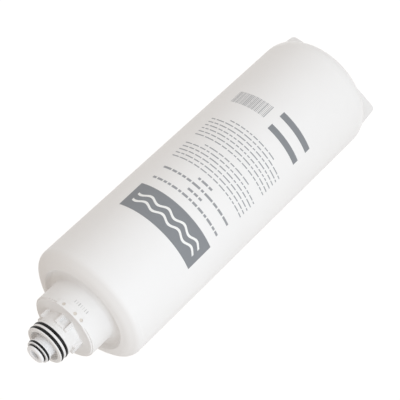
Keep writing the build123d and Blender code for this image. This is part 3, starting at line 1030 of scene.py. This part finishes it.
def insert_outline(sizes, shell):
    """Half-section of the small spigot, from its tail up the outside to the nose and down the bore."""
    cup, under = cup_heights(shell)
    shoulder = under - sizes.shoulder_length
    stop = TUBE_HIGH.z
    middle = groove("middle_o_ring", sizes.step_radius, sizes.step_radius)
    tail = sizes.tail_radius
    return [
        (sizes.bore_radius, INSERT_LOW.z),
        (tail, INSERT_LOW.z),
        *groove("tube_o_ring_lower", tail, tail),
        *groove("tube_o_ring_upper", tail, tail),
        (tail, stop),
        (sizes.stop_radius, stop),
        (sizes.stop_radius, shoulder),
        (sizes.shoulder_radius, shoulder),
        (sizes.shoulder_radius, under),
        (sizes.seat_radius, under),
        (sizes.seat_radius, cup),
        (sizes.shank_radius, cup),
        (sizes.shank_radius, middle[0][1] - sizes.step_back),
        (sizes.step_radius, middle[0][1] - sizes.step_back),
        *middle,
        *groove("tip_o_ring", sizes.step_radius, sizes.nose_radius),
        (sizes.nose_radius, INSERT_HIGH.z, sizes.nose_round),
        (sizes.bore_radius + sizes.mouth_chamfer, INSERT_HIGH.z),
        (sizes.bore_radius, INSERT_HIGH.z - sizes.mouth_chamfer),
    ]


class CARTRIDGE_OT_insert(Operator):
    """Turn the small stepped spigot and cut its flutes at the ports"""

    bl_idname = "cartridge.insert"
    bl_label = "Port insert"

    def execute(self, context):
        shell = context.scene.cartridge_shell
        outline = insert_outline(context.scene.cartridge_insert, shell)
        piece = solid("stepped_spigot", lathe(rounded(outline), shell.segments // 2))
        combine(piece, port_cutters(shell), "DIFFERENCE")
        dress(piece, glossy_acetal(context.scene.cartridge_finishes), "insert_white", "port_insert")
        return {"FINISHED"}


class CARTRIDGE_OT_seals(Operator):
    """Sweep each O-ring at the place and size that the frame gives it"""

    bl_idname = "cartridge.seals"
    bl_label = "O-rings"

    def execute(self, context):
        rubber = greased_rubber(context.scene.cartridge_finishes)
        tree = ring_tree()
        for node in SEALS:
            radius, section, height = seal(node)
            piece = solid(node + "_rubber", bmesh.new())
            values = {"Radius": radius, "Section": section, "Height": height, "Material": rubber}
            values["Squeeze"] = (section + SEAL_PLAY - 2 * SEAL_GAP) / section
            grow(piece, tree, values)
            dress(piece, rubber, "seal_rubber", node)
        return {"FINISHED"}


def circle_through(first, second, third):
    """Centre and radius of the circle through three points."""
    (ax, ay), (bx, by), (cx, cy) = first, second, third
    twice = 2 * (ax * (by - cy) + bx * (cy - ay) + cx * (ay - by))
    a, b, c = ax * ax + ay * ay, bx * bx + by * by, cx * cx + cy * cy
    x = (a * (by - cy) + b * (cy - ay) + c * (ay - by)) / twice
    y = (a * (cx - bx) + b * (ax - cx) + c * (bx - ax)) / twice
    return x, y, math.hypot(ax - x, ay - y)


def grip_shape(sizes, face):
    """Bar grip: crowned tip, rounded corners, drafted ends and scooped flanks."""
    tip, root = CAP_LOW.z, face + sizes.cap_round
    tip_half, root_half = sizes.tip_thickness / 2, sizes.root_thickness / 2
    waist = ((tip_half + root_half) / 2 - sizes.scoop, (tip + root) / 2)
    flank_y, flank_z, flank_r = circle_through((tip_half, tip), waist, (root_half, root))
    crown_r = (sizes.half_width ** 2 + sizes.crown ** 2) / (2 * sizes.crown)
    depth = root - tip
    corner, half_width = sizes.corner_round, sizes.half_width
    edge_rows = []
    for step in range(GRIP_CORNER_STEPS + 1):
        turn = math.pi / 2 * step / GRIP_CORNER_STEPS
        edge_rows.append((corner * (1 - math.cos(turn)), half_width - corner * (1 - math.sin(turn))))
    for step in range(1, sizes.rows + 1):
        down = corner + (depth - corner) * step / sizes.rows
        edge_rows.append((down, half_width + (down - corner) * math.tan(sizes.side_draft)))
    shape = bmesh.new()
    flanks = []
    for side in (-1, 1):
        flank = []
        for down, reach in edge_rows:
            row = []
            for column in range(sizes.columns + 1):
                x = reach * (2 * column / sizes.columns - 1)
                sag = crown_r - math.sqrt(crown_r * crown_r - x * x)
                z = tip + down + sag * (1 - down / depth)
                y = flank_y - math.sqrt(flank_r * flank_r - (z - flank_z) ** 2)
                row.append(shape.verts.new((x, side * y, z)))
            flank.append(row)
        flanks.append(flank)
    for flank in flanks:
        for upper, lower in zip(flank, flank[1:]):
            for at in range(sizes.columns):
                shape.faces.new((upper[at], upper[at + 1], lower[at + 1], lower[at]))
    front, back = flanks
    strips = [list(zip(front[at], back[at])) for at in (0, -1)]
    strips += [[(f[at], b[at]) for f, b in zip(front, back)] for at in (0, -1)]
    for strip in strips:
        for (f0, b0), (f1, b1) in zip(strip, strip[1:]):
            shape.faces.new((f0, b0, b1, f1))
    bmesh.ops.recalc_face_normals(shape, faces=shape.faces)
    return shape


class CARTRIDGE_OT_grip_cap(Operator):
    """Turn the rounded end cap, join the bar grip to it and hollow it"""

    bl_idname = "cartridge.grip_cap"
    bl_label = "Grip cap"

    def execute(self, context):
        sizes = context.scene.cartridge_grip
        shell = context.scene.cartridge_shell
        seam, skirt_top = SHELL_LOW.z, CAP_HIGH.z
        face = seam - sizes.cap_depth
        inside = face + sizes.cap_wall
        rim = body_radius(shell, seam)
        skirt = body_radius(shell, skirt_top) - shell.wall - SLIP_GAP
        cavity = skirt - sizes.skirt_wall
        socket_outer = sizes.socket_radius + sizes.socket_wall
        socket_top = TUBE_LOW.z - sizes.plug_flange - SOCKET_GAP
        dome = [
            (0, face),
            (rim, face, sizes.cap_round),
            (rim, seam, 0),
            (skirt, seam),
            (skirt, skirt_top),
            (0, skirt_top),
        ]
        hollow = [
            (0, inside),
            (sizes.socket_radius, inside),
            (sizes.socket_radius, socket_top),
            (socket_outer, socket_top),
            (socket_outer, inside),
            (cavity, inside, sizes.cap_round - sizes.cap_wall),
            (cavity, skirt_top + sizes.cap_wall, 0),
            (0, skirt_top + sizes.cap_wall),
        ]
        grip = solid("grip", grip_shape(sizes, face))
        soften(grip, sizes.edge_round, GRIP_EDGE_STEPS)
        piece = solid("grip_cap_moulding", lathe(rounded(dome, CAP_CORNER_STEPS), shell.segments))
        bar = bmesh.new()
        bar.from_mesh(grip.data)
        bpy.data.objects.remove(grip)
        combine(piece, bar, "UNION")
        combine(piece, lathe(rounded(hollow), shell.segments), "DIFFERENCE")
        dress(piece, polished_polypropylene(context.scene.cartridge_finishes), "cap_white", "grip_cap")
        return {"FINISHED"}


def lay(shape, sizes, left, right, low, high, films=1, path=None):
    """Add a thin closed strip of ink to a flat print, in steps short enough to follow the wall."""
    steps = max(1, math.ceil((right - left) / sizes.step))
    top = films * sizes.lift
    section = ((-sizes.sink, low), (top, low), (top, high), (-sizes.sink, high))
    rings = []
    for step in range(steps + 1):
        x = left + (right - left) * step / steps
        rise = path(x) if path else 0
        rings.append([shape.verts.new((x, y, z + rise)) for y, z in section])
    for ring, following in zip(rings, rings[1:]):
        for at in range(len(section)):
            shape.faces.new((ring[at - 1], ring[at], following[at], following[at - 1]))
    shape.faces.new(rings[0])
    shape.faces.new(rings[-1])


def print_on(piece, ink, radius, taper=0.0, tilt=0.0):
    """Wrap a flat print round the axis and tie it to the frame."""
    values = {"Radius": radius, "Foot": SHELL_LOW.z, "Taper": taper, "Tilt": tilt, "Material": ink}
    grow(piece, bpy.data.node_groups.get(WRAP) or wrap_tree(), values)
    dress(piece, ink, "shell_white")


def print_on_body(context, name, shape, ink):
    """Wrap a flat print on the drafted body."""
    bmesh.ops.recalc_face_normals(shape, faces=shape.faces)
    shell, sizes = context.scene.cartridge_shell, context.scene.cartridge_print
    print_on(solid(name, shape), ink, shell.body_radius, math.tan(shell.draft), sizes.tilt)


class CARTRIDGE_OT_fields(Operator):
    """Print the wide band, the white waves on it and the two short bars"""

    bl_idname = "cartridge.fields"
    bl_label = "Printed fields"

    def execute(self, context):
        sizes, finishes = context.scene.cartridge_print, context.scene.cartridge_finishes
        radius = context.scene.cartridge_shell.body_radius
        left, right = sizes.left * radius, sizes.right * radius
        fields = bmesh.new()
        lay(fields, sizes, left, right, sizes.band_top - sizes.band_height, sizes.band_top)
        for step in range(sizes.bar_count):
            top = sizes.bar_top - step * sizes.bar_pitch
            lay(fields, sizes, left, sizes.bar_right * radius, top - sizes.bar_height, top)
        slate = screen_ink("screen ink, slate", finishes.band_ink, thin=1.12)
        print_on_body(context, "printed_fields", fields, slate)

        def wave(x):
            """Rise of a wave line at a place along it."""
            return sizes.wave_rise * math.sin(math.tau * (x - left) / sizes.wave_length)

        waves = bmesh.new()
        first = sizes.band_top - (sizes.band_height - (sizes.wave_count - 1) * sizes.wave_pitch) / 2
        for step in range(sizes.wave_count):
            middle = first - step * sizes.wave_pitch
            low, high = middle - sizes.wave_width / 2, middle + sizes.wave_width / 2
            start, end = left + sizes.wave_inset, right - sizes.wave_inset
            lay(waves, sizes, start, end, low, high, films=2, path=wave)
        white = screen_ink("screen ink, white", finishes.white_ink, thin=0.97)
        print_on_body(context, "printed_waves", waves, white)
        return {"FINISHED"}


def row_of_dashes(shape, sizes, chance, middle, width, height, thick):
    """Fill a row with dashes of uneven length."""
    at, right = middle - width / 2, middle + width / 2
    while right - at > sizes.dash_short / 2:
        end = min(right, at + chance.uniform(sizes.dash_short, sizes.dash_long))
        if right - end < sizes.dash_short + sizes.dash_gap:
            end = right
        lay(shape, sizes, at, end, height - thick / 2, height + thick / 2)
        at = end + sizes.dash_gap


class CARTRIDGE_OT_rows(Operator):
    """Print the rows of dashes under the band"""

    bl_idname = "cartridge.rows"
    bl_label = "Printed rows"

    def execute(self, context):
        sizes, finishes = context.scene.cartridge_print, context.scene.cartridge_finishes
        radius = context.scene.cartridge_shell.body_radius
        width = (sizes.right - sizes.left) * radius
        middle = (sizes.right + sizes.left) / 2 * radius
        chance = random.Random(sizes.seed)
        rows = bmesh.new()
        for row in range(sizes.bold_count):
            height = sizes.bold_top - row * sizes.bold_pitch
            reach = sizes.bold_narrow if row % 2 else sizes.bold_wide
            row_of_dashes(rows, sizes, chance, middle, reach, height, sizes.bold_height)
        for top, count in ((sizes.upper_block, sizes.upper_rows), (sizes.lower_block, sizes.lower_rows)):
            for row in range(count):
                height = top - row * sizes.fine_pitch
                reach = sizes.last_row if row == count - 1 else width
                row_of_dashes(rows, sizes, chance, middle, reach, height, sizes.fine_height)
        grey = screen_ink("screen ink, grey", finishes.row_ink, thin=1.08)
        print_on_body(context, "printed_rows", rows, grey)
        return {"FINISHED"}


class CARTRIDGE_OT_stripes(Operator):
    """Print the block of upright stripes, and a row of faint ticks on the collar"""

    bl_idname = "cartridge.stripes"
    bl_label = "Printed stripes"

    def execute(self, context):
        sizes, finishes = context.scene.cartridge_print, context.scene.cartridge_finishes
        shell = context.scene.cartridge_shell
        tree = stripe_tree()
        ink = screen_ink("screen ink, light grey", finishes.stripe_ink, thin=1.08)
        left, right = sizes.stripes_left * shell.body_radius, sizes.stripes_right * shell.body_radius
        low = sizes.stripes_top - sizes.stripes_height
        stripes = self.strip("printed_stripes", sizes, sizes.stripe_width, low, sizes.stripes_top)
        self.repeat(stripes, tree, sizes, sizes.stripe_count, left, right, ink)
        print_on(stripes, ink, shell.body_radius, math.tan(shell.draft), sizes.tilt)
        faint = screen_ink("jetted ink, faint", finishes.tick_ink, thin=1.1)
        left, right = sizes.tick_left * shell.collar_radius, sizes.tick_right * shell.collar_radius
        half = sizes.tick_height / 2
        low, high = sizes.tick_middle - half, sizes.tick_middle + half
        ticks = self.strip("collar_ticks", sizes, sizes.tick_width, low, high)
        self.repeat(ticks, tree, sizes, sizes.tick_count, left, right, faint)
        print_on(ticks, faint, shell.collar_radius)
        return {"FINISHED"}

    def strip(self, name, sizes, width, low, high):
        """One strip, of the widest kind, as the start of a row."""
        shape = bmesh.new()
        lay(shape, sizes, -width / 2, width / 2, low, high)
        bmesh.ops.recalc_face_normals(shape, faces=shape.faces)
        return solid(name, shape)

    def repeat(self, piece, tree, sizes, count, left, right, ink):
        """Copies of the strip from the left edge to the right one, in uneven widths."""
        values = {
            "Count": count,
            "Start": left,
            "Pitch": (right - left) / (count - 1),
            "Thinnest": sizes.stripe_thin,
            "Widest": 1.0,
            "Seed": sizes.seed,
            "Material": ink,
        }
        grow(piece, tree, values)


class CARTRIDGE_OT_core(Operator):
    """Give the pieces inside the sealed shell their materials"""

    bl_idname = "cartridge.core"
    bl_label = "Pieces inside"

    def execute(self, context):
        finishes = context.scene.cartridge_finishes
        abs_tube, grey = extruded_abs(finishes), moulded_abs(finishes)
        dressed = {
            "permeate_tube": abs_tube,
            "tube_plug": abs_tube,
            "membrane_roll": wound_leaves(finishes),
            "roll_wrap": wrap_tape(finishes),
            "upper_end_cap": grey,
            "lower_end_cap": grey,
            "brine_seal": bpy.data.materials[SEAL_RUBBER],
        }
        for node, material in dressed.items():
            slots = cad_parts[node].data.materials
            slots.clear()
            slots.append(material)
        return {"FINISHED"}


def seen_rays(tree):
    """One for the rays that the camera, a mirror or a glass sees, none for the light on the object."""
    rays = add(tree, "ShaderNodeLightPath").outputs
    seen = rays["Is Camera Ray"]
    for kind in ("Is Glossy Ray", "Is Transmission Ray"):
        seen = add(tree, "ShaderNodeMath", {0: seen, 1: rays[kind]}, operation="MAXIMUM").outputs[0]
    return seen


class CARTRIDGE_OT_stage(Operator):
    """Set the floor, the soft studio light and the camera"""

    bl_idname = "cartridge.stage"
    bl_label = "Stage"

    def execute(self, context):
        scene = context.scene
        sizes = scene.cartridge_stage
        scene.view_settings.view_transform = "Standard"
        self.lay_floor(sizes)
        self.light_world(scene, sizes)
        self.hang_lamp(sizes, "key lamp", sizes.key_way, sizes.key_power)
        self.hang_lamp(sizes, "fill lamp", sizes.fill_way, sizes.fill_power)
        self.set_camera(scene, sizes)
        return {"FINISHED"}

    def lay_floor(self, sizes):
        """Pale floor under the part, white to the camera where no shadow falls."""
        sheet = bmesh.new()
        bmesh.ops.create_grid(
            sheet, x_segments=FLOOR_STEPS, y_segments=FLOOR_STEPS, size=sizes.floor_reach
        )
        bmesh.ops.translate(sheet, vec=(0, 0, CAP_LOW.z - sizes.floor_drop), verts=sheet.verts)
        floor = solid("floor", sheet)
        paint = bpy.data.materials.new("pale floor paint")
        paint.use_nodes = True
        tree = paint.node_tree
        tree.nodes.clear()
        matte = add(tree, "ShaderNodeBsdfDiffuse", {"Color": sizes.floor_colour})
        glow = add(tree, "ShaderNodeEmission", {"Strength": sizes.floor_glow})
        share = add(
            tree, "ShaderNodeMath", {0: seen_rays(tree), 1: sizes.floor_share}, operation="MULTIPLY"
        )
        blend = add(
            tree,
            "ShaderNodeMixShader",
            {0: share.outputs[0], 1: matte.outputs["BSDF"], 2: glow.outputs["Emission"]},
        )
        add(tree, "ShaderNodeOutputMaterial", {"Surface": blend.outputs["Shader"]})
        floor.data.materials.append(paint)

    def light_world(self, scene, sizes):
        """Even light from all round, and a white background."""
        world = bpy.data.worlds.new("studio")
        world.use_nodes = True
        tree = world.node_tree
        tree.nodes.clear()
        soft = add(
            tree, "ShaderNodeBackground", {"Color": sizes.world_tint, "Strength": sizes.world_level}
        )
        white = add(tree, "ShaderNodeBackground", {"Color": WHITE, "Strength": 1.0})
        blend = add(
            tree,
            "ShaderNodeMixShader",
            {0: seen_rays(tree), 1: soft.outputs["Background"], 2: white.outputs["Background"]},
        )
        add(tree, "ShaderNodeOutputWorld", {"Surface": blend.outputs["Shader"]})
        scene.world = world

    def hang_lamp(self, sizes, name, way, watts):
        """A large soft lamp that faces the part."""
        lamp = bpy.data.lights.new(name, "AREA")
        lamp.energy = watts
        lamp.color = sizes.lamp_tint[:3]
        lamp.size = sizes.lamp_size
        held = bpy.data.objects.new(name, lamp)
        held.location = Vector(sizes.aim) + Vector(way).normalized() * sizes.lamp_distance
        held.rotation_euler = Vector(way).to_track_quat("Z", "Y").to_euler()
        bpy.context.scene.collection.objects.link(held)

    def set_camera(self, scene, sizes):
        """Camera at the photograph's viewing angle."""
        lens = bpy.data.cameras.new("camera")
        lens.lens = sizes.lens
        lens.sensor_width = SENSOR
        lens.clip_start = CLIP_START
        camera = bpy.data.objects.new("camera", lens)
        turn = (
            Matrix.Rotation(-sizes.azimuth, 4, "Z")
            @ Matrix.Rotation(math.pi / 2 - sizes.elevation, 4, "X")
            @ Matrix.Rotation(sizes.roll, 4, "Z")
        )
        back = turn @ Vector((0, 0, sizes.distance))
        camera.matrix_world = Matrix.Translation(Vector(sizes.aim) + back) @ turn
        scene.collection.objects.link(camera)
        scene.camera = camera


STEPS = (
    CARTRIDGE_OT_shell,
    CARTRIDGE_OT_lugs,
    CARTRIDGE_OT_pad,
    CARTRIDGE_OT_insert,
    CARTRIDGE_OT_seals,
    CARTRIDGE_OT_grip_cap,
    CARTRIDGE_OT_fields,
    CARTRIDGE_OT_rows,
    CARTRIDGE_OT_stripes,
    CARTRIDGE_OT_core,
    CARTRIDGE_OT_stage,
)


class CARTRIDGE_PT_panel(Panel):
    """Steps that make the cartridge's looks"""

    bl_idname = "CARTRIDGE_PT_panel"
    bl_label = "Cartridge"
    bl_space_type = "VIEW_3D"
    bl_region_type = "UI"
    bl_category = "Cartridge"

    def draw(self, context):
        for step in STEPS:
            self.layout.operator(step.bl_idname)


GROUPS = {
    "cartridge_shell": ShellSizes,
    "cartridge_neck": NeckSizes,
    "cartridge_insert": InsertSizes,
    "cartridge_grip": GripSizes,
    "cartridge_print": PrintSizes,
    "cartridge_finishes": Finishes,
    "cartridge_stage": StageSizes,
}


def register():
    """Register the sizes, the operators and the panel."""
    for name, group in GROUPS.items():
        bpy.utils.register_class(group)
        setattr(bpy.types.Scene, name, PointerProperty(type=group))
    for step in STEPS:
        bpy.utils.register_class(step)
    bpy.utils.register_class(CARTRIDGE_PT_panel)


def unregister():
    """Take them away again."""
    bpy.utils.unregister_class(CARTRIDGE_PT_panel)
    for step in reversed(STEPS):
        bpy.utils.unregister_class(step)
    for name, group in reversed(GROUPS.items()):
        delattr(bpy.types.Scene, name)
        bpy.utils.unregister_class(group)


def main():
    """Make every piece in order."""
    register()
    for step in STEPS:
        category, name = step.bl_idname.split(".")
        getattr(getattr(bpy.ops, category), name)()


if __name__ == "__main__":
    main()
